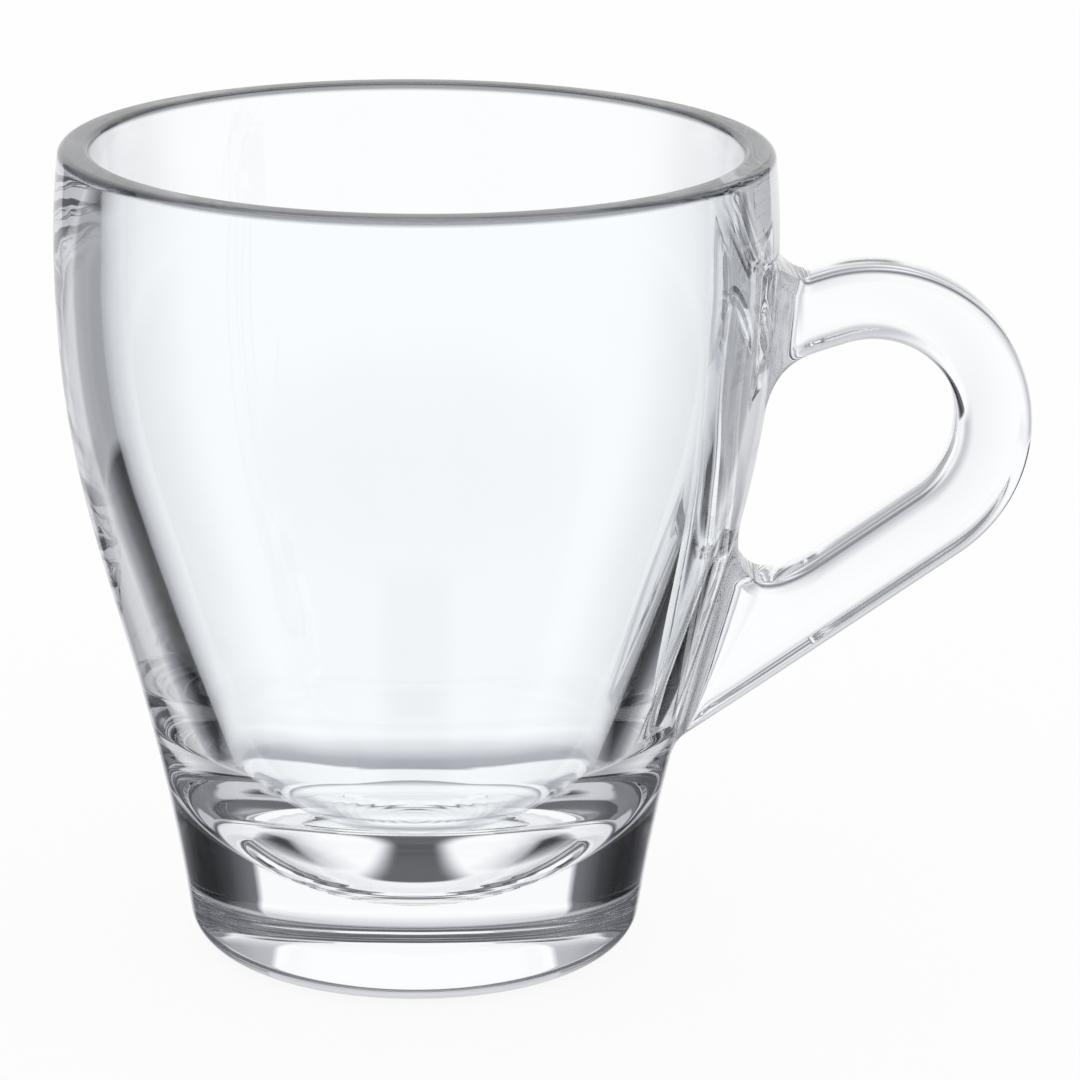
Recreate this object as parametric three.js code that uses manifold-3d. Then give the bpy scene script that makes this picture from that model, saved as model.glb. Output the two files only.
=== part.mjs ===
import * as THREE from 'three';
import { mergeVertices } from 'three/addons/utils/BufferGeometryUtils.js';
import Module from 'manifold-3d';

// Glass coffee cup in clear pressed glass: a thick-based bowl, and a loop handle that is fused
// to its side at two roots. Millimetres, +Z up, origin at the middle of the flat underside.
// The handle stands out along +X.

// Bowl, outside
const HEIGHT = 92;
const FOOT_RADIUS = 25.8;
const FOOT_FILLET = 4;
const FOOT_LEAN = 0.146;        // outward run of the wall for each mm of rise, at the foot
const FOOT_PULL = 38;           // length of wall that the foot's lean governs
const BELLY_RADIUS = 40.1;      // the widest place
const BELLY_DROP = 11;          // from the rim down to the widest place
const BELLY_PULL = 33;          // length of wall that the upright belly governs
const RIM_TUCK = 0.55;          // how much narrower the rim is than the belly

// Bowl, rim and inside
const RIM_WALL = 3.6;
const RIM_OUTER_ROUND = 1;
const RIM_INNER_ROUND = 0.8;
const RIM_LEAN = 0.028;         // outward run of the inner wall for each mm of rise, at the rim
const RIM_PULL = 31.3;
const BASE_THICKNESS = 8.4;     // under the lowest place of the cavity
const ROUND_DEPTH = 18.6;       // height of the cavity's round bottom
const ROUND_INSET = 2.3;        // from the foot's radius in to the top of the round bottom
const ROUND_SIDE_PULL = 13.5;   // length of the round bottom that the inner wall governs
const ROUND_FLOOR_PULL = 8;     // length of the round bottom that the level middle governs
const CAVITY_LEAN = 0.345;      // outward run of the inner wall for each mm of rise, at the round bottom
const CAVITY_PULL = 31.1;

// Handle
const LOOP_REACH = 10.6;        // from the belly out to the middle of the round loop
const LOOP_DROP = 31.1;         // from the rim down to the middle of the round loop
const LOOP_RADIUS = 14;         // to the middle of the band
const BAND_WIDTH = 8.1;         // seen from the side
const BAND_DEPTH = 9;           // seen from the end
const BAND_ROUND = 1.5;         // round on the band's four long edges
const ARM_RISE = 18;            // degrees that the upper arm climbs as it leaves the wall
const BAR_SLOPE = 35.4;         // degrees that the lower bar falls towards the wall
const ARM_TOP_FILLET = 3.2;
const ARM_UNDER_FILLET = 7;
const CROTCH_FILLET = 4.5;
const HEEL_FILLET = 4;
const SIDE_FLARE = 3.6;         // fillet of the band's flat sides onto the wall
const FEATHER_ANGLE = 20;       // degrees left between a fillet and the wall where the fillet stops
const ROOT_BITE = 3;            // how far a root runs on into the wall before it is trimmed
const WELD_GAP = 0.3;           // clearance between the trimmed roots and the wall

// Fineness of the facets
const TURN_STEPS = 64;
const WALL_STEPS = 15;
const ROUND_STEPS = 4;
const CORNER_STEPS = 8;
const FLOOR_STEPS = 14;
const LOOP_STEPS = 26;
const BAR_STEPS = 4;
const ROOT_STEPS = 4;
const FILLET_STEPS = 7;
const BAND_ROUND_STEPS = 4;
const MEETING_STEPS = 40;        // halvings of the gap when an edge is run up to the wall

const point = (x, y) => new THREE.Vector2(x, y);
const radians = THREE.MathUtils.degToRad;

const glass = () => new THREE.MeshStandardMaterial({
  color: 0xf2f5f7,
  roughness: 0.05,
  metalness: 0,
  transparent: true,
  opacity: 0.35,
});

// An arc of a circle as points. Angles are in radians, from the direction of +X.
function arc(centre, radius, from, to, steps) {
  const clockwise = to < from;
  return new THREE.EllipseCurve(centre.x, centre.y, radius, radius, from, to, clockwise).getPoints(steps);
}

// Bowl outline: x is the radius and y is the height

const bellyHeight = HEIGHT - BELLY_DROP;
const rimRadius = BELLY_RADIUS - RIM_TUCK;
const footTilt = Math.atan(FOOT_LEAN);
const footCentre = point(FOOT_RADIUS - FOOT_FILLET, FOOT_FILLET);
const footArc = arc(footCentre, FOOT_FILLET, -Math.PI / 2, -footTilt, CORNER_STEPS);
const wallStart = footArc[footArc.length - 1];

const outerWall = new THREE.CubicBezierCurve(
  wallStart,
  point(wallStart.x + FOOT_LEAN * FOOT_PULL, wallStart.y + FOOT_PULL),
  point(BELLY_RADIUS, bellyHeight - BELLY_PULL),
  point(BELLY_RADIUS, bellyHeight),
);

const rimShoulder = point(rimRadius, HEIGHT - RIM_OUTER_ROUND);
const tuckedWall = new THREE.QuadraticBezierCurve(
  point(BELLY_RADIUS, bellyHeight),
  point(BELLY_RADIUS, (bellyHeight + rimShoulder.y) / 2),
  rimShoulder,
);

function outerOutline() {
  return [
    ...footArc,
    ...outerWall.getPoints(WALL_STEPS).slice(1),
    ...tuckedWall.getPoints(ROUND_STEPS).slice(1),
  ];
}

function rimOutline() {
  const outerCentre = point(rimRadius - RIM_OUTER_ROUND, HEIGHT - RIM_OUTER_ROUND);
  const innerCentre = point(rimRadius - RIM_WALL + RIM_INNER_ROUND, HEIGHT - RIM_INNER_ROUND);
  return [
    ...arc(outerCentre, RIM_OUTER_ROUND, 0, Math.PI / 2, ROUND_STEPS).slice(1),
    ...arc(innerCentre, RIM_INNER_ROUND, Math.PI / 2, Math.PI, ROUND_STEPS),
  ];
}

function cavityOutline() {
  const rimEdge = point(rimRadius - RIM_WALL, HEIGHT - RIM_INNER_ROUND);
  const roundTop = point(FOOT_RADIUS - ROUND_INSET, BASE_THICKNESS + ROUND_DEPTH);
  const downWall = point(-CAVITY_LEAN, -1).normalize();
  const innerWall = new THREE.CubicBezierCurve(
    rimEdge,
    point(rimEdge.x - RIM_LEAN * RIM_PULL, rimEdge.y - RIM_PULL),
    point(roundTop.x + CAVITY_LEAN * CAVITY_PULL, roundTop.y + CAVITY_PULL),
    roundTop,
  );
  const roundBottom = new THREE.CubicBezierCurve(
    roundTop,
    roundTop.clone().addScaledVector(downWall, ROUND_SIDE_PULL),
    point(ROUND_FLOOR_PULL, BASE_THICKNESS),
    point(0, BASE_THICKNESS),
  );
  return [...innerWall.getPoints(WALL_STEPS).slice(1), ...roundBottom.getPoints(FLOOR_STEPS).slice(1)];
}

// Turns an outline round the cup's axis, which becomes +Z.
function revolve(outline) {
  return new THREE.LatheGeometry(outline, TURN_STEPS).rotateX(Math.PI / 2);
}

function bowl() {
  const outline = [
    point(0, 0),
    ...outerOutline(),
    ...rimOutline(),
    ...cavityOutline(),
  ];
  const mesh = new THREE.Mesh(revolve(outline), glass());
  mesh.name = 'bowl';
  return mesh;
}

// Handle edges: x is along the handle, y is the height

const wallLine = outerOutline();

function wallRadius(height) {
  const next = wallLine.findIndex((spot) => spot.y > height);
  const above = wallLine[next];
  const below = wallLine[next - 1];
  return THREE.MathUtils.mapLinear(height, below.y, above.y, below.x, above.x);
}

// The unit direction up the wall at a height.
function wallDirection(height) {
  const span = 1;
  return point(wallRadius(height + span) - wallRadius(height - span), 2 * span).normalize();
}

// Where an edge that starts at a point and runs in a direction meets the wall.
function meetWall(start, direction) {
  let near = 0;
  let far = start.x / -direction.x;
  for (let step = 0; step < MEETING_STEPS; step += 1) {
    const middle = (near + far) / 2;
    const spot = start.clone().addScaledVector(direction, middle);
    if (spot.x > wallRadius(spot.y)) {
      near = middle;
    } else {
      far = middle;
    }
  }
  return start.clone().addScaledVector(direction, near);
}

// One edge of a root: straight to the start of its fillet, round towards the wall until only the
// feather angle is left, then straight on into the glass. Side is 1 where the fillet turns up the
// wall and -1 where it turns down.
function rootEdge(start, direction, fillet, side) {
  const corner = meetWall(start, direction);
  const alongWall = wallDirection(corner.y).multiplyScalar(side);
  const back = direction.clone().negate();
  const opening = Math.acos(back.dot(alongWall));
  const run = fillet / Math.tan(opening / 2);
  const filletStart = corner.clone().addScaledVector(back, run);
  const inward = alongWall.clone().addScaledVector(back, -alongWall.dot(back)).normalize();
  const centre = filletStart.clone().addScaledVector(inward, fillet);
  const turn = Math.max(Math.PI - opening - radians(FEATHER_ANGLE), 0);
  const from = filletStart.clone().sub(centre).angle();
  const turnSign = Math.sign(direction.cross(inward));
  const points = new THREE.LineCurve(start, filletStart).getPoints(ROOT_STEPS);
  for (let step = 1; step <= FILLET_STEPS; step += 1) {
    const angle = from + turnSign * turn * (step / FILLET_STEPS);
    points.push(point(centre.x + fillet * Math.cos(angle), centre.y + fillet * Math.sin(angle)));
  }
  const last = points[points.length - 1];
  const exit = direction.clone().rotateAround(point(0, 0), turnSign * turn);
  points.push(last.clone().addScaledVector(exit, ROOT_BITE));
  return points;
}

// One edge of the whole handle, from the upper root round the loop to the lower root.
function handleEdge(offset, upperFillet, lowerFillet) {
  const centre = point(BELLY_RADIUS + LOOP_REACH, HEIGHT - LOOP_DROP);
  const radius = LOOP_RADIUS + offset;
  const top = Math.PI / 2 + radians(ARM_RISE);
  const bottom = radians(BAR_SLOPE) - Math.PI / 2;
  const loop = arc(centre, radius, top, bottom, LOOP_STEPS);
  const armDirection = point(-Math.cos(radians(ARM_RISE)), -Math.sin(radians(ARM_RISE)));
  const barDirection = point(-Math.cos(radians(BAR_SLOPE)), -Math.sin(radians(BAR_SLOPE)));
  const upper = rootEdge(loop[0], armDirection, upperFillet, Math.sign(offset));
  const barEnd = loop[LOOP_STEPS].clone().addScaledVector(barDirection, straightBar());
  const bar = new THREE.LineCurve(loop[LOOP_STEPS], barEnd).getPoints(BAR_STEPS);
  const lower = rootEdge(barEnd, barDirection, lowerFillet, -Math.sign(offset));
  return [...upper.reverse(), ...loop.slice(1), ...bar.slice(1), ...lower.slice(1)];
}

// Length of the lower bar that is square to itself, up to the start of the crotch fillet.
function straightBar() {
  const centre = point(BELLY_RADIUS + LOOP_REACH, HEIGHT - LOOP_DROP);
  const radius = LOOP_RADIUS - BAND_WIDTH / 2;
  const slope = radians(BAR_SLOPE);
  const start = point(centre.x + radius * Math.sin(slope), centre.y - radius * Math.cos(slope));
  const direction = point(-Math.cos(slope), -Math.sin(slope));
  const corner = meetWall(start, direction);
  const opening = Math.acos(-direction.dot(wallDirection(corner.y)));
  const run = CROTCH_FILLET / Math.tan(opening / 2);
  return Math.max(start.distanceTo(corner) - run - BAND_ROUND, BAND_ROUND);
}

// Half the band's depth beside the middle of a section: full where the flare's edge meets the round
// wall, plain beyond the flare.
function halfDepth(middle) {
  const beside = Math.hypot(middle.x, BAND_DEPTH / 2 + SIDE_FLARE);
  const clear = (beside - wallRadius(middle.y)) * wallDirection(middle.y).y;
  const reach = THREE.MathUtils.clamp(SIDE_FLARE - clear, 0, SIDE_FLARE);
  return BAND_DEPTH / 2 + SIDE_FLARE - Math.sqrt(SIDE_FLARE ** 2 - reach ** 2);
}

// How squarely a section crosses an edge: 1 where it is at right angles to the edge.
function squareness(edge, index, across) {
  const before = edge[Math.max(index - 1, 0)];
  const after = edge[Math.min(index + 1, edge.length - 1)];
  return Math.abs(after.clone().sub(before).normalize().cross(across));
}

// A section of the band between two edge points: a rectangle with four rounded corners. The round
// is stretched where the section crosses an edge on the slant, so that it stays even along the edge.
function section(outerEdge, innerEdge, index) {
  const outer = outerEdge[index];
  const inner = innerEdge[index];
  const across = outer.clone().sub(inner).normalize();
  const half = outer.distanceTo(inner) / 2;
  const middle = outer.clone().add(inner).multiplyScalar(0.5);
  const depth = halfDepth(middle);
  const least = BAND_ROUND / half;
  const outerRound = BAND_ROUND / Math.max(squareness(outerEdge, index, across), least);
  const innerRound = BAND_ROUND / Math.max(squareness(innerEdge, index, across), least);
  const ring = [];
  for (let quarter = 0; quarter < 4; quarter += 1) {
    const alongSign = quarter === 0 || quarter === 3 ? 1 : -1;
    const depthSign = quarter < 2 ? 1 : -1;
    const round = alongSign > 0 ? outerRound : innerRound;
    for (let step = 0; step <= BAND_ROUND_STEPS; step += 1) {
      const angle = (quarter + step / BAND_ROUND_STEPS) * (Math.PI / 2);
      const along = alongSign * (half - round) + round * Math.cos(angle);
      const side = depthSign * (depth - BAND_ROUND) + BAND_ROUND * Math.sin(angle);
      ring.push(new THREE.Vector3(middle.x + across.x * along, side, middle.y + across.y * along));
    }
  }
  return ring;
}

// Joins a row of closed sections into one solid with flat ends.
function loft(rings) {
  const count = rings[0].length;
  const positions = rings.flat().flatMap((spot) => spot.toArray());
  const faces = [];
  for (let ring = 0; ring + 1 < rings.length; ring += 1) {
    for (let side = 0; side < count; side += 1) {
      const a = ring * count + side;
      const b = ring * count + ((side + 1) % count);
      faces.push(a, b + count, b, a, a + count, b + count);
    }
  }
  const end = (rings.length - 1) * count;
  for (let side = 1; side + 1 < count; side += 1) {
    faces.push(0, side, side + 1);
    faces.push(end, end + side + 1, end + side);
  }
  const geometry = new THREE.BufferGeometry();
  geometry.setAttribute('position', new THREE.Float32BufferAttribute(positions, 3));
  geometry.setIndex(faces);
  return geometry;
}

// Trimming the roots to the wall

const wasm = await Module();
wasm.setup();

function toSolid(geometry) {
  const plain = geometry.clone();
  plain.deleteAttribute('normal');
  plain.deleteAttribute('uv');
  const merged = mergeVertices(plain);
  return new wasm.Manifold(new wasm.Mesh({
    numProp: 3,
    vertProperties: merged.attributes.position.array,
    triVerts: new Uint32Array(merged.index.array),
  }));
}

function toGeometry(solid) {
  const mesh = solid.getMesh();
  const geometry = new THREE.BufferGeometry();
  geometry.setAttribute('position', new THREE.BufferAttribute(mesh.vertProperties, 3));
  geometry.setIndex(new THREE.BufferAttribute(mesh.triVerts, 1));
  geometry.computeVertexNormals();
  return geometry;
}

// The space that the bowl takes up, with the weld clearance round it.
function bowlSpace() {
  const grown = wallLine.map((spot) => point(spot.x + WELD_GAP, spot.y));
  return revolve([point(0, 0), ...grown, point(0, rimShoulder.y)]);
}

function handle() {
  const outerEdge = handleEdge(BAND_WIDTH / 2, ARM_TOP_FILLET, HEEL_FILLET);
  const innerEdge = handleEdge(-BAND_WIDTH / 2, ARM_UNDER_FILLET, CROTCH_FILLET);
  const rings = outerEdge.map((_, index) => section(outerEdge, innerEdge, index));
  const trimmed = toSolid(loft(rings)).subtract(toSolid(bowlSpace()));
  const mesh = new THREE.Mesh(toGeometry(trimmed), glass());
  mesh.name = 'handle';
  return mesh;
}

const cup = new THREE.Group();
cup.name = 'glass_coffee_cup';
cup.add(bowl(), handle());

export default cup;
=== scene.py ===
import math

import bmesh
import bpy
from mathutils import Matrix, Vector


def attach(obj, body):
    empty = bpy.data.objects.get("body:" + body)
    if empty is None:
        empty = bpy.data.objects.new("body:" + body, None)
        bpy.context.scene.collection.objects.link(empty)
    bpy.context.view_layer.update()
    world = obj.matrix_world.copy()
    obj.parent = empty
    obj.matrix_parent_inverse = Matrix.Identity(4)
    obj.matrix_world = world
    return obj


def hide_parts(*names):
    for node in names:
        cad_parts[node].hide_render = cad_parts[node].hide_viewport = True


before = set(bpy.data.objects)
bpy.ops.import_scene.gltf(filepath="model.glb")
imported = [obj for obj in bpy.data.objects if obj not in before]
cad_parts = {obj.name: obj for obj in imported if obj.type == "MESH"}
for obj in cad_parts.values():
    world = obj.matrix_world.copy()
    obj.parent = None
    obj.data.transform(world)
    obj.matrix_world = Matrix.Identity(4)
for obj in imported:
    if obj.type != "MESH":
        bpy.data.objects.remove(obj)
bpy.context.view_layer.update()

# A clear pressed-glass coffee cup: a bowl with a heavy base, and a loop handle fused to its side.
# Sizes are in millimetres and become metres when a mesh is made.
MM = 0.001

# Camera, as the photograph was taken
CAMERA_BACK = 494.42            # from the cup's axis towards the camera
CAMERA_HEIGHT = 190.69
CAMERA_YAW = 1.619              # degrees
CAMERA_PITCH = 16.246
CAMERA_ROLL = -0.644
FOCAL_LENGTH = 152.03
SENSOR_WIDTH = 36

# Bowl, outside
HEIGHT = 92
FOOT_RADIUS = 25.8
FOOT_FILLET = 4
FOOT_LEAN = 0.146
FOOT_PULL = 38
BELLY_RADIUS = 40.1
BELLY_DROP = 11
BELLY_PULL = 33
RIM_TUCK = 0.55

# Bowl, rim and inside
RIM_WALL = 3.6
RIM_OUTER_ROUND = 1
RIM_INNER_ROUND = 0.8
RIM_LEAN = 0.028
RIM_PULL = 31.3
BASE_THICKNESS = 8.4
ROUND_DEPTH = 18.6
ROUND_INSET = 2.3
ROUND_SIDE_PULL = 13.5
ROUND_FLOOR_PULL = 8
CAVITY_LEAN = 0.345
CAVITY_PULL = 31.1
RIPPLE_PITCH = 1.3              # rings that the pressing tool leaves on the round bottom
RIPPLE_HEIGHT = 0.011
RIPPLE_RADIUS = 15
RIPPLE_FADE = 4                 # how late the rings fade out towards that radius

# Handle
LOOP_REACH = 10.6
LOOP_DROP = 31.1
LOOP_RADIUS = 14
BAND_WIDTH = 8.1
BAND_DEPTH = 9
BAND_ROUND = 1.5
ARM_RISE = 18
BAR_SLOPE = 35.4
ARM_TOP_FILLET = 3.2
ARM_UNDER_FILLET = 7
CROTCH_FILLET = 4.5
HEEL_FILLET = 4
SIDE_FLARE = 3.6
FILLET_EASE = 1.3               # how much longer a fillet is than a plain arc of the same depth
WRAP_REACH = 7                  # distance from the wall over which a root takes up its roundness
FILLET_SINK = 0.04              # how far a fillet's end lies under the wall, for a clean cut
ROOT_BITE = 2.2                 # how far a root goes on into the wall

# Glass
GLASS_COLOUR = (0.969, 0.987, 1, 1)
RIM_PAINTED_SHADE = (0.15, 0.16, 0.17, 1)  # painted shade: the glass colour is darkened at the rim, standing in for light that runs a long way down the wall from the rim
GLASS_IOR = 1.5
WAVE_SCALE = 90                 # faint waves in the surface, as pressing leaves them
WAVE_STRENGTH = 0.02

# Studio: pairs of an angle in degrees and a darkness, where 0 is white and 1 is black.
# A round is an angle round from straight behind the cup, and a height is an angle above the horizon.

# Dark cards behind the cup on both sides, a paler strip under them, and soft dark cards lower down
CARD_ROUND = ((28.5, 0), (30.5, 0.87), (40, 0.96), (46, 1), (57, 1), (63, 0.93), (68, 0.74), (75, 0.4),
              (84, 0.1), (100, 0))
CARD_HEIGHT = ((-12.5, 0), (-10.5, 1), (7, 1), (12, 0.6), (22, 0.6), (30, 0.35), (45, 0.1), (60, 0))
STRIP_ROUND = ((24, 0.2), (28, 0.57), (60, 0.57), (84, 0.1), (100, 0))
STRIP_HEIGHT = ((-25, 0), (-23, 1), (-12.5, 1), (-10.5, 0))
LOW_CARD_ROUND = ((24, 0.1), (28, 0.4), (32, 0.65), (36, 0.78), (39, 0.9), (42, 0.97), (46, 1),
                  (52, 0.95), (60, 0.6), (75, 0.3), (100, 0))
LOW_CARD_HEIGHT = ((-65, 0), (-55, 0.2), (-47, 0.5), (-42, 1), (-24, 1), (-21, 0))

# The dim room above the camera, the dim table under the cup, and the shadow of its foot
ROOM_ROUND = (85, 105)          # the room begins between these angles
ROOM_HEIGHT = ((3, 0), (10, 0.75), (60, 0.6), (72, 0.1))
UNDER_CUP_HEIGHT = ((-52, 0.93), (-46, 0))
UNDER_CUP_SIDE = (0.1, 0.25)    # the table's dark ends between these shares of a direction to the side
FOOT_SHADOW_HEIGHT = ((-47.6, 0), (-46.9, 0.6), (-45, 0.55), (-42, 0.2), (-39, 0))
TABLE_HEIGHT = ((-74, 0), (-67, 0.7), (-62, 0.7), (-54, 0))

# What shows through one thickness of glass, and through both walls
PLAIN_CARD_FOOT = (-11.5, -9.3)
SIDE_DUSK_ROUND = ((5, 0), (12, 0.13), (20, 0.32), (27, 0.42), (33, 0.3), (42, 0))
SIDE_DUSK_TOP = (-14, -10.5)
HIGH_DUSK_HEIGHT = ((-2, 0), (10, 0.3), (30, 0.45), (50, 0.2))
STEEP_HEIGHT = ((-62, 0), (-54, 0.6), (-46, 0.8), (-34, 0))
FAINT_ROUND = ((20, 0), (26, 0.09), (31, 0.24), (36, 0.42), (48, 0.2), (55, 0))
CARD_SEEN_THROUGH = 0.4         # share of a card's darkness that shows through both walls

# What the outside mirrors, and light that turned many times inside the glass
MIRRORED_ROUND = ((35, 0), (50, 0.95), (72, 0.95), (86, 0.15), (100, 0))
LOW_MIRRORED_ROUND = ((12, 0), (22, 0.95), (72, 0.95), (86, 0.15), (100, 0))
LOW_MIRRORED_HEIGHT = ((-45, 0), (-38, 1), (-20.5, 1), (-18.5, 0))
MANY_TURNS = (9, 15)            # the cards fade out between these counts of turns
LONG_WAY = ((4, 0), (6.5, 0.88), (10, 0.88), (15, 0.33))    # a count of turns instead of an angle
LONG_BACK_TURNS = (6, 10)
LONG_BACK_ROUND = (110, 140)
LONG_BACK_DARK = 0.88

SHADE_COLOUR = (0.86, 0.87, 1, 1)
FLOOR_REACH = 4                 # metres
FLOOR_DROP = 0.0001             # metres under the cup
FLOOR_COLOUR = (0.9, 0.9, 0.9, 1)
FLOOR_WHITE = 0.9               # share of plain white that the camera sees; the rest keeps the shadow

# Fineness of the meshes
TURN_STEPS = 224
WALL_STEPS = 56
RIM_STEPS = 8
FOOT_STEPS = 14
FLOOR_STEPS = 240
LOOP_STEPS = 72
BAR_STEPS = 10
ROOT_STEPS = 10
FILLET_STEPS = 28
BAND_ROUND_STEPS = 8
BITE_STEPS = 6
MEETING_STEPS = 40
MERGE_DISTANCE = 1e-6           # metres
LIGHT_BOUNCES = 400             # light turns many times inside the thick glass


def arc(centre, radius, start, end, steps):
    """Points on an arc of a circle, angles in radians."""
    points = []
    for step in range(steps + 1):
        angle = start + (end - start) * step / steps
        spot = (centre[0] + radius * math.cos(angle), centre[1] + radius * math.sin(angle))
        points.append(Vector(spot))
    return points


def cubic(a, b, c, d, steps):
    """Points on a cubic Bezier curve."""
    points = []
    for step in range(steps + 1):
        t = step / steps
        s = 1 - t
        weights = (s ** 3, 3 * s * s * t, 3 * s * t * t, t ** 3)
        points.append(sum((Vector(p) * w for p, w in zip((a, b, c, d), weights)), Vector((0, 0))))
    return points


# Bowl outline: radius and height

def outer_outline():
    tilt = math.atan(FOOT_LEAN)
    foot = arc((FOOT_RADIUS - FOOT_FILLET, FOOT_FILLET), FOOT_FILLET, -math.pi / 2, -tilt, FOOT_STEPS)
    start = foot[-1]
    belly = HEIGHT - BELLY_DROP
    wall = cubic(
        start,
        (start.x + FOOT_LEAN * FOOT_PULL, start.y + FOOT_PULL),
        (BELLY_RADIUS, belly - BELLY_PULL),
        (BELLY_RADIUS, belly),
        WALL_STEPS,
    )
    shoulder = Vector((BELLY_RADIUS - RIM_TUCK, HEIGHT - RIM_OUTER_ROUND))
    knee = Vector((BELLY_RADIUS, (belly + shoulder.y) / 2))
    below = Vector((BELLY_RADIUS, belly))
    tuck = cubic(below, below.lerp(knee, 2 / 3), shoulder.lerp(knee, 2 / 3), shoulder, RIM_STEPS)
    return foot + wall[1:] + tuck[1:]


def rim_outline():
    radius = BELLY_RADIUS - RIM_TUCK
    outer_centre = (radius - RIM_OUTER_ROUND, HEIGHT - RIM_OUTER_ROUND)
    inner_centre = (radius - RIM_WALL + RIM_INNER_ROUND, HEIGHT - RIM_INNER_ROUND)
    outer = arc(outer_centre, RIM_OUTER_ROUND, 0, math.pi / 2, RIM_STEPS)
    inner = arc(inner_centre, RIM_INNER_ROUND, math.pi / 2, math.pi, RIM_STEPS)
    return outer[1:] + inner


def ripple(radius):
    """Height of the floor's fine rings at a radius; they fade out towards the floor's edge."""
    fade = max(0.0, 1 - (radius / RIPPLE_RADIUS) ** RIPPLE_FADE)
    return RIPPLE_HEIGHT * fade * math.sin(2 * math.pi * radius / RIPPLE_PITCH)


def cavity_outline():
    edge = Vector((BELLY_RADIUS - RIM_TUCK - RIM_WALL, HEIGHT - RIM_INNER_ROUND))
    round_top = Vector((FOOT_RADIUS - ROUND_INSET, BASE_THICKNESS + ROUND_DEPTH))
    down = Vector((-CAVITY_LEAN, -1)).normalized()
    wall = cubic(
        edge,
        (edge.x - RIM_LEAN * RIM_PULL, edge.y - RIM_PULL),
        (round_top.x + CAVITY_LEAN * CAVITY_PULL, round_top.y + CAVITY_PULL),
        round_top,
        WALL_STEPS,
    )
    floor = cubic(
        round_top,
        round_top + down * ROUND_SIDE_PULL,
        (ROUND_FLOOR_PULL, BASE_THICKNESS),
        (0, BASE_THICKNESS),
        FLOOR_STEPS,
    )
    floor = [Vector((spot.x, spot.y + ripple(spot.x))) for spot in floor]
    return wall[1:] + floor[1:]


def revolve(outline, name):
    """A closed surface of revolution about Z; the outline starts and ends on the axis."""
    mesh = bmesh.new()
    rings = []
    for spot in outline:
        if spot.x < MERGE_DISTANCE:
            rings.append([mesh.verts.new((0, 0, spot.y * MM))] * TURN_STEPS)
            continue
        ring = []
        for turn in range(TURN_STEPS):
            angle = 2 * math.pi * turn / TURN_STEPS
            place = (spot.x * math.cos(angle), spot.x * math.sin(angle), spot.y)
            ring.append(mesh.verts.new(Vector(place) * MM))
        rings.append(ring)
    for low, high in zip(rings, rings[1:]):
        for turn in range(TURN_STEPS):
            after = (turn + 1) % TURN_STEPS
            corners = [low[turn], low[after], high[after], high[turn]]
            mesh.faces.new(list(dict.fromkeys(corners)))
    return to_object(mesh, name)


def to_object(mesh, name):
    data = bpy.data.meshes.new(name)
    mesh.to_mesh(data)
    mesh.free()
    piece = bpy.data.objects.new(name, data)
    bpy.context.scene.collection.objects.link(piece)
    return piece


# Handle edges: distance along X and height

wall_line = outer_outline()


def wall_radius(height):
    for below, above in zip(wall_line, wall_line[1:]):
        if above.y > height:
            return below.x + (above.x - below.x) * (height - below.y) / (above.y - below.y)
    return wall_line[-1].x


def wall_direction(height):
    return Vector((wall_radius(height + 1) - wall_radius(height - 1), 2)).normalized()


def meet_wall(start, direction):
    near = 0.0
    far = start.x / -direction.x
    for _ in range(MEETING_STEPS):
        middle = (near + far) / 2
        spot = start + direction * middle
        if spot.x > wall_radius(spot.y):
            near = middle
        else:
            far = middle
    return start + direction * near


def root_edge(start, direction, fillet, side):
    """One edge of a root: straight, then a soft fillet along the wall, then square into the glass."""
    corner = meet_wall(start, direction)
    along_wall = wall_direction(corner.y) * side
    opening = math.acos(-direction.dot(along_wall))
    plain_run = fillet / math.tan(opening / 2)
    run = min(FILLET_EASE * plain_run, (start - corner).length - BAND_ROUND)
    depth_share = plain_run / (run * (1 + math.sin(opening / 2)))
    hold = run * (1 - depth_share) * 4 / 3
    fillet_start = corner - direction * run
    height = corner.y + along_wall.y * run
    wall = wall_direction(height)
    inward = Vector((-wall.y, wall.x))
    fillet_end = Vector((wall_radius(height), height)) + inward * FILLET_SINK
    fillet_curve = cubic(
        fillet_start,
        fillet_start + direction * hold,
        fillet_end - wall * (side * hold),
        fillet_end,
        FILLET_STEPS,
    )
    points = [start.lerp(fillet_start, step / ROOT_STEPS) for step in range(ROOT_STEPS)]
    points += fillet_curve
    deepest = fillet_end + inward * ROOT_BITE
    points += [fillet_end.lerp(deepest, step / BITE_STEPS) for step in range(1, BITE_STEPS + 1)]
    return points


def loop_centre():
    return Vector((BELLY_RADIUS + LOOP_REACH, HEIGHT - LOOP_DROP))


def heading(degrees):
    """The direction towards the cup that falls at an angle."""
    return Vector((-math.cos(math.radians(degrees)), -math.sin(math.radians(degrees))))


def straight_bar():
    """Length of the lower bar that is square to itself, up to the start of the crotch fillet."""
    slope = math.radians(BAR_SLOPE)
    radius = LOOP_RADIUS - BAND_WIDTH / 2
    start = loop_centre() + Vector((math.sin(slope), -math.cos(slope))) * radius
    direction = heading(BAR_SLOPE)
    corner = meet_wall(start, direction)
    opening = math.acos(-direction.dot(wall_direction(corner.y)))
    run = FILLET_EASE * CROTCH_FILLET / math.tan(opening / 2)
    return max((start - corner).length - run - BAND_ROUND, BAND_ROUND)


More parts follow.
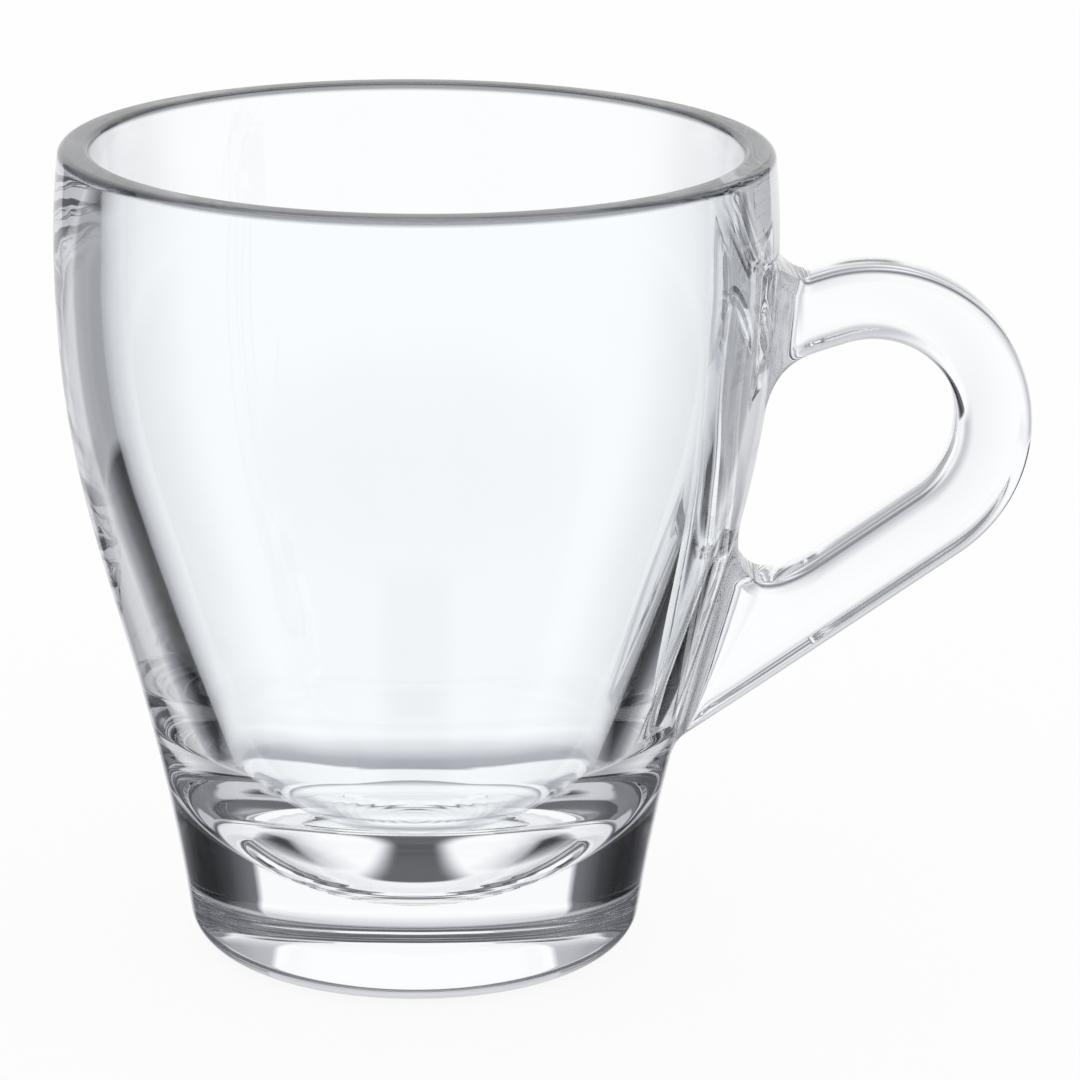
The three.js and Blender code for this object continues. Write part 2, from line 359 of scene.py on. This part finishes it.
def handle_edge(offset, upper_fillet, lower_fillet):
    side = math.copysign(1, offset)
    top = math.pi / 2 + math.radians(ARM_RISE)
    bottom = math.radians(BAR_SLOPE) - math.pi / 2
    loop = arc(loop_centre(), LOOP_RADIUS + offset, top, bottom, LOOP_STEPS)
    upper = root_edge(loop[0], heading(ARM_RISE), upper_fillet, side)
    bar_end = loop[-1] + heading(BAR_SLOPE) * straight_bar()
    bar = [loop[-1].lerp(bar_end, step / BAR_STEPS) for step in range(1, BAR_STEPS + 1)]
    lower = root_edge(bar_end, heading(BAR_SLOPE), lower_fillet, -side)
    return upper[::-1] + loop[1:] + bar + lower[1:]


def wrap(spot):
    """Curves a root round the wall, where a distance along X becomes a distance from the axis."""
    clear = spot.x - wall_radius(spot.z)
    share = min(max(1 - clear / WRAP_REACH, 0), 1)
    share = share * share * (3 - 2 * share)
    return Vector((math.sqrt(spot.x ** 2 - share * spot.y ** 2), spot.y, spot.z))


def half_depth(middle):
    clear = (middle.x - wall_radius(middle.y)) * wall_direction(middle.y).y
    reach = min(max(SIDE_FLARE - clear, 0), SIDE_FLARE)
    return BAND_DEPTH / 2 + SIDE_FLARE - math.sqrt(SIDE_FLARE ** 2 - reach ** 2)


def squareness(edge, index, across):
    before = edge[max(index - 1, 0)]
    after = edge[min(index + 1, len(edge) - 1)]
    along = (after - before).normalized()
    return abs(along.x * across.y - along.y * across.x)


def section(outer_edge, inner_edge, index):
    """A rounded rectangle across the band between two edge points."""
    outer, inner = outer_edge[index], inner_edge[index]
    across = (outer - inner).normalized()
    half = (outer - inner).length / 2
    middle = (outer + inner) / 2
    depth = half_depth(middle)
    least = BAND_ROUND / half
    outer_round = BAND_ROUND / max(squareness(outer_edge, index, across), least)
    inner_round = BAND_ROUND / max(squareness(inner_edge, index, across), least)
    ring = []
    for quarter in range(4):
        along_sign = 1 if quarter in (0, 3) else -1
        depth_sign = 1 if quarter < 2 else -1
        corner = outer_round if along_sign > 0 else inner_round
        for step in range(BAND_ROUND_STEPS + 1):
            angle = (quarter + step / BAND_ROUND_STEPS) * math.pi / 2
            along = along_sign * (half - corner) + corner * math.cos(angle)
            side = depth_sign * (depth - BAND_ROUND) + BAND_ROUND * math.sin(angle)
            spot = Vector((middle.x + across.x * along, side, middle.y + across.y * along))
            ring.append(wrap(spot))
    return ring


def loft(sections, name):
    """A closed band through a row of sections, with flat ends."""
    mesh = bmesh.new()
    rings = [[mesh.verts.new(spot * MM) for spot in ring] for ring in sections]
    count = len(rings[0])
    for first, second in zip(rings, rings[1:]):
        for side in range(count):
            after = (side + 1) % count
            mesh.faces.new((first[side], second[side], second[after], first[after]))
    mesh.faces.new(rings[0])
    mesh.faces.new(rings[-1][::-1])
    bmesh.ops.recalc_face_normals(mesh, faces=mesh.faces)
    return to_object(mesh, name)


# Shader nodes

def math_node(tree, operation, *values):
    node = tree.nodes.new("ShaderNodeMath")
    node.operation = operation
    for socket, value in zip(node.inputs, values):
        if isinstance(value, (int, float)):
            socket.default_value = value
        else:
            tree.links.new(value, socket)
    return node.outputs[0]


def ramp(tree, value, start, end, low=0.0, high=1.0):
    node = tree.nodes.new("ShaderNodeMapRange")
    node.interpolation_type = "SMOOTHSTEP"
    tree.links.new(value, node.inputs["Value"])
    for name, number in (("From Min", start), ("From Max", end), ("To Min", low), ("To Max", high)):
        node.inputs[name].default_value = number
    return node.outputs["Result"]


def shade(tree, value, stops):
    """A darkness that changes with an angle, from pairs of an angle and a darkness."""
    low, high = stops[0][0], stops[-1][0]
    place = math_node(tree, "DIVIDE", math_node(tree, "SUBTRACT", value, low), high - low)
    node = tree.nodes.new("ShaderNodeValToRGB")
    points = node.color_ramp.elements
    points[0].color = (stops[0][1],) * 3 + (1,)
    points[1].color = (stops[-1][1],) * 3 + (1,)
    for angle, dark in stops[1:-1]:
        points.new((angle - low) / (high - low)).color = (dark,) * 3 + (1,)
    tree.links.new(place, node.inputs["Fac"])
    return node.outputs["Color"]


# Materials

def clear_glass():
    """Clear pressed glass with faint waves in its surface, and painted shade that darkens its colour at
    the rim.
    """
    material = bpy.data.materials.new("clear_glass")
    material.use_nodes = True
    tree = material.node_tree
    shader = tree.nodes["Principled BSDF"]
    shader.inputs["Transmission Weight"].default_value = 1
    shader.inputs["IOR"].default_value = GLASS_IOR
    shader.inputs["Roughness"].default_value = 0
    place = tree.nodes.new("ShaderNodeTexCoord")
    axes = tree.nodes.new("ShaderNodeSeparateXYZ")
    tree.links.new(place.outputs["Object"], axes.inputs[0])
    # Painted shade: the glass colour turns dark grey at the top of the rim, in place of light lost on its
    # long way down the wall
    rim_foot = HEIGHT - RIM_OUTER_ROUND
    rim_middle = HEIGHT - RIM_OUTER_ROUND / 2
    rim_shade_mask = ramp(tree, axes.outputs["Z"], rim_foot * MM, rim_middle * MM)
    colour = tree.nodes.new("ShaderNodeMix")
    colour.data_type = "RGBA"
    tree.links.new(rim_shade_mask, colour.inputs["Factor"])
    colour.inputs["A"].default_value = GLASS_COLOUR
    colour.inputs["B"].default_value = RIM_PAINTED_SHADE
    tree.links.new(colour.outputs["Result"], shader.inputs["Base Color"])
    waves = tree.nodes.new("ShaderNodeTexNoise")
    waves.inputs["Scale"].default_value = WAVE_SCALE
    waves.inputs["Detail"].default_value = 1
    bump = tree.nodes.new("ShaderNodeBump")
    bump.inputs["Strength"].default_value = WAVE_STRENGTH
    bump.inputs["Distance"].default_value = MM
    tree.links.new(place.outputs["Object"], waves.inputs["Vector"])
    tree.links.new(waves.outputs["Fac"], bump.inputs["Height"])
    tree.links.new(bump.outputs["Normal"], shader.inputs["Normal"])
    return material


def weld_glass():
    """The unseen face where the handle and the bowl are one body of glass."""
    material = bpy.data.materials.new("weld")
    material.use_nodes = True
    tree = material.node_tree
    tree.nodes.clear()
    out = tree.nodes.new("ShaderNodeOutputMaterial")
    clear = tree.nodes.new("ShaderNodeBsdfTransparent")
    tree.links.new(clear.outputs[0], out.inputs["Surface"])
    return material


# Joining the handle to the bowl

def cut(piece, other, operation):
    """A new mesh made from two pieces; each face keeps the material of the piece that it came from."""
    modifier = piece.modifiers.new("cut", "BOOLEAN")
    modifier.operation = operation
    modifier.object = other
    modifier.solver = "EXACT"
    modifier.material_mode = "TRANSFER"
    bpy.context.view_layer.update()
    graph = bpy.context.evaluated_depsgraph_get()
    mesh = bpy.data.meshes.new_from_object(piece.evaluated_get(graph))
    piece.modifiers.remove(modifier)
    return mesh


def faces_of(mesh, material):
    """Corner places of the faces that carry a material."""
    slots = {index for index, held in enumerate(mesh.materials) if held == material}
    found = []
    for face in mesh.polygons:
        if face.material_index in slots:
            found.append([mesh.vertices[v].co.copy() for v in face.vertices])
    return found


def drop_slivers(mesh):
    """Takes out pairs of faces that lie back to back on the same corners."""
    by_corners = {}
    for face in mesh.faces:
        by_corners.setdefault(frozenset(face.verts), []).append(face)
    slivers = [face for faces in by_corners.values() if len(faces) > 1 for face in faces]
    bmesh.ops.delete(mesh, geom=slivers, context="FACES")


def assemble(name, shown, weld, glass, weld_material):
    """A closed piece from its shown faces and its weld faces."""
    mesh = bmesh.new()
    for faces, slot in ((shown, 0), (weld, 1)):
        for corners in faces:
            face = mesh.faces.new([mesh.verts.new(co) for co in corners])
            face.material_index = slot
    bmesh.ops.remove_doubles(mesh, verts=mesh.verts, dist=MERGE_DISTANCE)
    bmesh.ops.dissolve_degenerate(mesh, edges=mesh.edges, dist=MERGE_DISTANCE)
    bmesh.ops.triangulate(mesh, faces=[face for face in mesh.faces if len(face.verts) > 4])
    drop_slivers(mesh)
    for face in mesh.faces:
        face.smooth = True
    for edge in mesh.edges:
        if len({face.material_index for face in edge.link_faces}) > 1:
            edge.smooth = False
    piece = to_object(mesh, name)
    piece.data.materials.append(glass)
    piece.data.materials.append(weld_material)
    return piece


def build_cup():
    """Bowl and handle as two closed pieces that meet at their weld; a marker tells their faces apart."""
    glass = clear_glass()
    weld_material = weld_glass()
    handle_mark = bpy.data.materials.new("handle_mark")
    rough_bowl = revolve([Vector((0, 0))] + wall_line + rim_outline() + cavity_outline(), "rough_bowl")
    outer_edge = handle_edge(BAND_WIDTH / 2, ARM_TOP_FILLET, HEEL_FILLET)
    inner_edge = handle_edge(-BAND_WIDTH / 2, ARM_UNDER_FILLET, CROTCH_FILLET)
    sections = [section(outer_edge, inner_edge, index) for index in range(len(outer_edge))]
    rough_handle = loft(sections, "rough_handle")
    rough_bowl.data.materials.append(glass)
    rough_handle.data.materials.append(handle_mark)
    joined = cut(rough_bowl, rough_handle, "UNION")
    trimmed = cut(rough_handle, rough_bowl, "DIFFERENCE")
    weld = faces_of(trimmed, glass)
    bowl_weld = [corners[::-1] for corners in weld]
    bowl = assemble("glass_bowl", faces_of(joined, glass), bowl_weld, glass, weld_material)
    handle = assemble("glass_handle", faces_of(trimmed, handle_mark), weld, glass, weld_material)
    for rough in (rough_bowl, rough_handle):
        bpy.data.objects.remove(rough)
    bpy.data.materials.remove(handle_mark)
    return bowl, handle


bowl, handle = build_cup()
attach(bowl, "root")
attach(handle, "root")
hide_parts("bowl")
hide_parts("handle")


# Studio

def darkest(tree, *values):
    result = values[0]
    for value in values[1:]:
        result = math_node(tree, "MAXIMUM", result, value)
    return result


def times(tree, *values):
    result = values[0]
    for value in values[1:]:
        result = math_node(tree, "MULTIPLY", result, value)
    return result


def blend(tree, factor, low, high):
    node = tree.nodes.new("ShaderNodeMix")
    tree.links.new(factor, node.inputs["Factor"])
    for name, value in (("A", low), ("B", high)):
        if isinstance(value, (int, float)):
            node.inputs[name].default_value = value
        else:
            tree.links.new(value, node.inputs[name])
    return node.outputs["Result"]


def directions(tree):
    """How far a ray's direction lies to the side, round from straight behind the cup, and up."""
    place = tree.nodes.new("ShaderNodeTexCoord")
    axes = tree.nodes.new("ShaderNodeSeparateXYZ")
    tree.links.new(place.outputs["Generated"], axes.inputs[0])
    across = math_node(tree, "ABSOLUTE", axes.outputs["X"])
    turn = math_node(tree, "DEGREES", math_node(tree, "ARCTAN2", across, axes.outputs["Y"]))
    rise = math_node(tree, "DEGREES", math_node(tree, "ARCSINE", axes.outputs["Z"]))
    return across, turn, rise


def dark_in_plain_sight(tree, card, turn, rise):
    """What shows through one thickness of glass: the cards, and a soft dusk at the edges."""
    plain_card = times(tree, card, ramp(tree, rise, *PLAIN_CARD_FOOT))
    side_dusk = times(tree, shade(tree, turn, SIDE_DUSK_ROUND), ramp(tree, rise, *SIDE_DUSK_TOP, 1, 0))
    high_dusk = shade(tree, rise, HIGH_DUSK_HEIGHT)
    steep = shade(tree, rise, STEEP_HEIGHT)
    return darkest(tree, plain_card, high_dusk, side_dusk, steep)


def dark_through_both_walls(tree, card, turn, rise):
    """What shows through the whole cup: faint cards, the foot's shadow and the table."""
    faint = shade(tree, turn, FAINT_ROUND)
    foot_shadow = shade(tree, rise, FOOT_SHADOW_HEIGHT)
    table = shade(tree, rise, TABLE_HEIGHT)
    return darkest(tree, times(tree, card, CARD_SEEN_THROUGH), faint, foot_shadow, table)


def dark_after_turning(tree, card, across, turn, rise, path):
    """What shows in light that turned inside the glass or glanced off it; long ways end in plain grey."""
    turns = path.outputs["Glossy Depth"]
    strip = times(tree, shade(tree, turn, STRIP_ROUND), shade(tree, rise, STRIP_HEIGHT))
    low_card = times(tree, shade(tree, turn, LOW_CARD_ROUND), shade(tree, rise, LOW_CARD_HEIGHT))
    under_cup = times(tree, shade(tree, rise, UNDER_CUP_HEIGHT), ramp(tree, across, *UNDER_CUP_SIDE, 1, 0))
    room = times(tree, ramp(tree, turn, *ROOM_ROUND), shade(tree, rise, ROOM_HEIGHT))
    glanced = math_node(tree, "LESS_THAN", path.outputs["Transmission Depth"], 0.5)
    low_mirrored = shade(tree, turn, LOW_MIRRORED_ROUND)
    low_mirrored = times(tree, low_mirrored, shade(tree, rise, LOW_MIRRORED_HEIGHT))
    mirrored = times(tree, glanced, darkest(tree, shade(tree, turn, MIRRORED_ROUND), low_mirrored))
    under_cup = times(tree, under_cup, math_node(tree, "SUBTRACT", 1, glanced))
    cards = darkest(tree, card, strip, low_card, under_cup, room, mirrored)
    cards = times(tree, cards, ramp(tree, turns, *MANY_TURNS, 1, 0))
    long_way = shade(tree, turns, LONG_WAY)
    long_back = times(tree, ramp(tree, turns, *LONG_BACK_TURNS), ramp(tree, turn, *LONG_BACK_ROUND))
    long_back = times(tree, long_back, LONG_BACK_DARK)
    return darkest(tree, cards, long_way, long_back)


def studio_world():
    """White to the camera; to the glass, a white sweep with dark cards behind the cup on both sides."""
    world = bpy.data.worlds.new("studio")
    bpy.context.scene.world = world
    world.use_nodes = True
    tree = world.node_tree
    background = tree.nodes["Background"]
    across, turn, rise = directions(tree)
    card = times(tree, shade(tree, turn, CARD_ROUND), shade(tree, rise, CARD_HEIGHT))
    path = tree.nodes.new("ShaderNodeLightPath")
    through = math_node(tree, "GREATER_THAN", path.outputs["Transmission Depth"], 3.5)
    turned = math_node(tree, "GREATER_THAN", path.outputs["Glossy Depth"], 0.5)
    plain = dark_in_plain_sight(tree, card, turn, rise)
    seen_through = dark_through_both_walls(tree, card, turn, rise)
    seen_turned = dark_after_turning(tree, card, across, turn, rise, path)
    dark = blend(tree, turned, blend(tree, through, plain, seen_through), seen_turned)
    bent = math_node(tree, "MAXIMUM", path.outputs["Is Glossy Ray"], path.outputs["Is Transmission Ray"])
    dark = times(tree, dark, bent)
    tint = tree.nodes.new("ShaderNodeMix")
    tint.data_type = "RGBA"
    tree.links.new(dark, tint.inputs["Factor"])
    tint.inputs["A"].default_value = (1, 1, 1, 1)
    tint.inputs["B"].default_value = SHADE_COLOUR
    tree.links.new(tint.outputs["Result"], background.inputs["Color"])
    tree.links.new(math_node(tree, "SUBTRACT", 1, dark), background.inputs["Strength"])


def studio_floor():
    """A plain white floor that keeps a faint shadow."""
    mesh = bmesh.new()
    signs = ((-1, -1), (1, -1), (1, 1), (-1, 1))
    corners = [mesh.verts.new((x * FLOOR_REACH, y * FLOOR_REACH, -FLOOR_DROP)) for x, y in signs]
    mesh.faces.new(corners)
    floor = to_object(mesh, "floor")
    material = bpy.data.materials.new("floor")
    material.use_nodes = True
    tree = material.node_tree
    tree.nodes.clear()
    out = tree.nodes.new("ShaderNodeOutputMaterial")
    mix = tree.nodes.new("ShaderNodeMixShader")
    white = tree.nodes.new("ShaderNodeEmission")
    paint = tree.nodes.new("ShaderNodeBsdfDiffuse")
    paint.inputs["Color"].default_value = FLOOR_COLOUR
    path = tree.nodes.new("ShaderNodeLightPath")
    share = math_node(tree, "MULTIPLY", path.outputs["Is Camera Ray"], FLOOR_WHITE)
    tree.links.new(share, mix.inputs[0])
    tree.links.new(paint.outputs[0], mix.inputs[1])
    tree.links.new(white.outputs[0], mix.inputs[2])
    tree.links.new(mix.outputs[0], out.inputs["Surface"])
    floor.data.materials.append(material)
    floor.visible_transmission = False
    floor.visible_glossy = False


def photo_camera():
    """The camera at the photograph's place: turned by yaw, then tipped down, then rolled."""
    yaw, pitch, roll = (math.radians(angle) for angle in (CAMERA_YAW, CAMERA_PITCH, CAMERA_ROLL))
    stand = Matrix.Rotation(math.pi / 2, 4, "X")
    turned = Matrix.Rotation(-yaw, 4, "Z") @ Matrix.Rotation(-pitch, 4, "X")
    place = Matrix.Translation(Vector((0, -CAMERA_BACK, CAMERA_HEIGHT)) * MM)
    data = bpy.data.cameras.new("photo_camera")
    data.sensor_width = SENSOR_WIDTH
    data.lens = FOCAL_LENGTH
    camera = bpy.data.objects.new("photo_camera", data)
    camera.matrix_world = place @ turned @ stand @ Matrix.Rotation(-roll, 4, "Z")
    bpy.context.scene.collection.objects.link(camera)
    bpy.context.scene.camera = camera


studio_world()
studio_floor()
photo_camera()
bpy.context.scene.view_settings.view_transform = "Standard"
bpy.context.scene.cycles.max_bounces = LIGHT_BOUNCES
bpy.context.scene.cycles.glossy_bounces = LIGHT_BOUNCES
bpy.context.scene.cycles.transmission_bounces = LIGHT_BOUNCES
